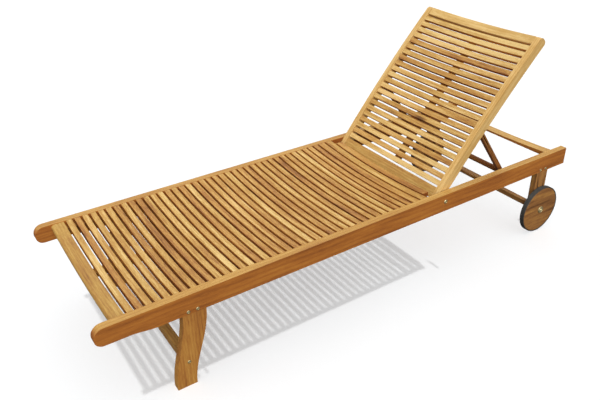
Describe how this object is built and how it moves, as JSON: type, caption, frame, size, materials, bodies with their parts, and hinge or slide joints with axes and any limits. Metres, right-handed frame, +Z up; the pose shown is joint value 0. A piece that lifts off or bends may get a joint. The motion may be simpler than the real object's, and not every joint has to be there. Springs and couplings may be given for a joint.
{
  "type": "reclining sun lounger",
  "caption": "Slatted wooden sun lounger with a dished bed, a hinged bowed backrest held by a swinging prop on notched racks, handles at the foot end and wheels at the head end",
  "frame": {"origin": "on the floor under the middle of the side rails, midway between them", "axes": "+X towards the head end and the wheels, -X towards the foot end and its handles, +Y to the right of a person lying with their head at +X, +Z up"},
  "size_m": [2, 0.711, 0.842],
  "materials": {
    "slat_wood": "oiled, satin",
    "frame_wood": "oiled, satin",
    "dark_wood": "stained, satin",
    "tyre_rubber": "matt rubber",
    "brass_fittings": "satin, plated"
  },
  "bodies": {
    "frame": {"side_rail_left": "frame_wood", "side_rail_right": "frame_wood", "front_cross_rail": "slat_wood", "rear_cross_rail": "slat_wood", "seat_end_rail": "frame_wood", "spreader_bar": "frame_wood", "seat_centre_batten": "frame_wood", "seat_ledger_left": "frame_wood", "seat_ledger_right": "frame_wood", "seat_wide_boards": "slat_wood", "seat_slats_1": "slat_wood", "seat_slats_2": "slat_wood", "seat_slats_3": "slat_wood", "seat_slats_4": "slat_wood", "seat_slats_5": "slat_wood", "seat_slats_6": "slat_wood", "seat_slats_7": "slat_wood", "seat_slats_8": "slat_wood", "seat_slats_9": "slat_wood", "seat_slats_10": "slat_wood", "seat_slats_11": "slat_wood", "seat_slats_12": "slat_wood", "seat_slats_13": "slat_wood", "front_leg_left": "frame_wood", "front_leg_right": "frame_wood", "rear_leg_left": "frame_wood", "rear_leg_right": "frame_wood", "front_stretcher": "frame_wood", "axle_beam": "frame_wood", "rack_left": "dark_wood", "rack_right": "dark_wood", "leg_bolts": "brass_fittings", "stretcher_screws": "brass_fittings", "axle_bolts": "brass_fittings", "axle_washers": "brass_fittings", "hinge_bolts": "brass_fittings", "hinge_washers": "brass_fittings"},
    "backrest": {"back_stile_left": "frame_wood", "back_stile_right": "frame_wood", "back_top_rail": "slat_wood", "back_bottom_rail": "slat_wood", "back_centre_batten": "frame_wood", "back_slats_1": "slat_wood", "back_slats_2": "slat_wood", "back_slats_3": "slat_wood", "back_slats_4": "slat_wood", "back_slats_5": "slat_wood", "back_slats_6": "slat_wood", "back_slats_7": "slat_wood", "back_slats_8": "slat_wood", "prop_pivot_bolts": "brass_fittings"},
    "prop": {"prop_strut_left": "dark_wood", "prop_strut_right": "dark_wood", "prop_bar": "dark_wood"},
    "wheel_left": {"wheel_disc_left": "dark_wood", "tyre_left": "tyre_rubber"},
    "wheel_right": {"wheel_disc_right": "dark_wood", "tyre_right": "tyre_rubber"}
  },
  "joints": [
    {"name": "backrest_recline", "type": "hinge", "parent": "frame", "child": "backrest", "pos_m": [0.3153, 0, 0.3157], "axis": [0, -1, 0], "range_deg": [-43.5, 6]},
    {"name": "prop_swing", "type": "hinge", "parent": "backrest", "child": "prop", "pos_m": [0.5121, 0, 0.53814], "axis": [0, 1, 0], "range_deg": [-92, 13]},
    {"name": "wheel_left_roll", "type": "hinge", "parent": "frame", "child": "wheel_left", "pos_m": [0.869, -0.337, 0.1026], "axis": [0, 1, 0], "continuous": true},
    {"name": "wheel_right_roll", "type": "hinge", "parent": "frame", "child": "wheel_right", "pos_m": [0.869, 0.337, 0.1026], "axis": [0, 1, 0], "continuous": true}
  ],
  "couplings": [
    {"joint": "prop_swing", "follows": "backrest_recline", "ratio": 2.1}
  ]
}
